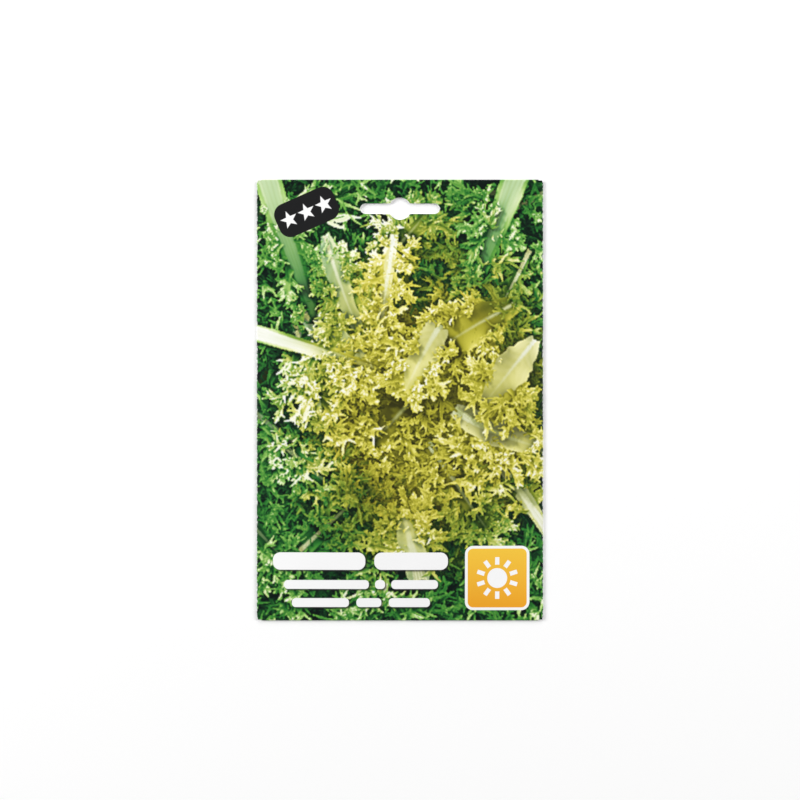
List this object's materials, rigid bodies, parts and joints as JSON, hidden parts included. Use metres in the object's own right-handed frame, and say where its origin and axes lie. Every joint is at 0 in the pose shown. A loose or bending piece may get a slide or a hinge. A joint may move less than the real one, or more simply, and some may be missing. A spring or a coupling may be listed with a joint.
{
  "type": "seed packet",
  "caption": "Flat folded paper seed packet with a hang slot and a printed leafy picture, closed round a foil sachet of loose seeds.",
  "frame": {"origin": "centre of the packet's outline, on the surface that it lies on", "axes": "+X across the printed front to the reader's right, +Y up the print towards the hang slot, +Z out of the printed front"},
  "size_m": [0.115, 0.177, 0.0045],
  "materials": {
    "printed_paper": "coated paper, full-bleed printed outside with a satin varnish, white inside",
    "sachet_foil": "satin foil laminate",
    "seed_husk": "dull dry seed coat"
  },
  "bodies": {
    "root": {"envelope": "printed_paper", "sachet_back_foil": "sachet_foil", "sachet_front_foil": "sachet_foil", "seed_01": "seed_husk", "seed_02": "seed_husk", "seed_03": "seed_husk", "seed_04": "seed_husk", "seed_05": "seed_husk", "seed_06": "seed_husk", "seed_07": "seed_husk", "seed_08": "seed_husk", "seed_09": "seed_husk", "seed_10": "seed_husk", "seed_11": "seed_husk", "seed_12": "seed_husk", "seed_13": "seed_husk", "seed_14": "seed_husk", "seed_15": "seed_husk", "seed_16": "seed_husk", "seed_17": "seed_husk", "seed_18": "seed_husk", "seed_19": "seed_husk", "seed_20": "seed_husk", "seed_21": "seed_husk", "seed_22": "seed_husk", "seed_23": "seed_husk", "seed_24": "seed_husk", "seed_25": "seed_husk", "seed_26": "seed_husk", "seed_27": "seed_husk", "seed_28": "seed_husk", "seed_29": "seed_husk", "seed_30": "seed_husk", "seed_31": "seed_husk", "seed_32": "seed_husk", "seed_33": "seed_husk", "seed_34": "seed_husk", "seed_35": "seed_husk", "seed_36": "seed_husk", "seed_37": "seed_husk", "seed_38": "seed_husk", "seed_39": "seed_husk", "seed_40": "seed_husk", "seed_41": "seed_husk", "seed_42": "seed_husk", "seed_43": "seed_husk", "seed_44": "seed_husk"}
  },
  "joints": []
}
